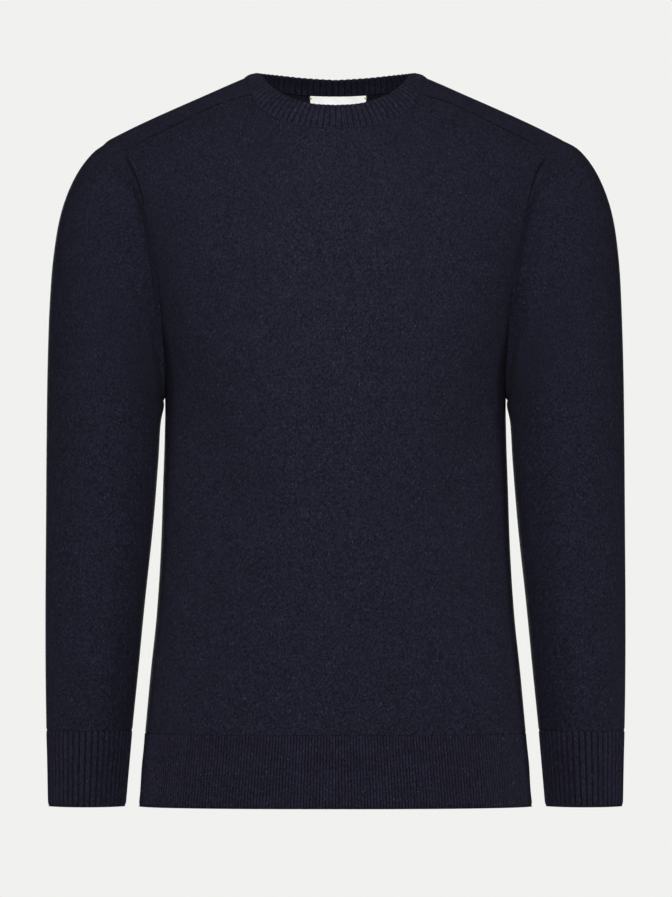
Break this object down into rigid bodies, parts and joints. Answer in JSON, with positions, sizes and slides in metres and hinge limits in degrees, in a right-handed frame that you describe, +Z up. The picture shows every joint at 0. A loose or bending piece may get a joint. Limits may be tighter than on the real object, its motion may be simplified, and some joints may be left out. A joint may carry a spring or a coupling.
{
  "type": "crewneck sweater",
  "caption": "Navy lambswool crewneck sweater, filled out as if worn, with set-in sleeves, forward shoulder seams and ribbed neck, hem and cuffs.",
  "frame": {"origin": "between the shoulders at the middle of the neck opening, level with the sides of the neck where the shoulder lines would meet it", "axes": "+Z up along the wearer's back, -Y to the wearer's front, +X to the wearer's left"},
  "size_m": [0.554, 0.2341, 0.6999],
  "materials": {
    "jersey": "matt milled lambswool jersey with a short nap",
    "rib": "matt ribbed lambswool",
    "label_tape": "matt woven tape"
  },
  "bodies": {
    "root": {"front": "jersey", "back": "jersey", "sleeve_left": "jersey", "sleeve_right": "jersey", "neckband": "rib", "hem_front": "rib", "hem_back": "rib", "cuff_left": "rib", "cuff_right": "rib", "label": "label_tape"}
  },
  "joints": []
}
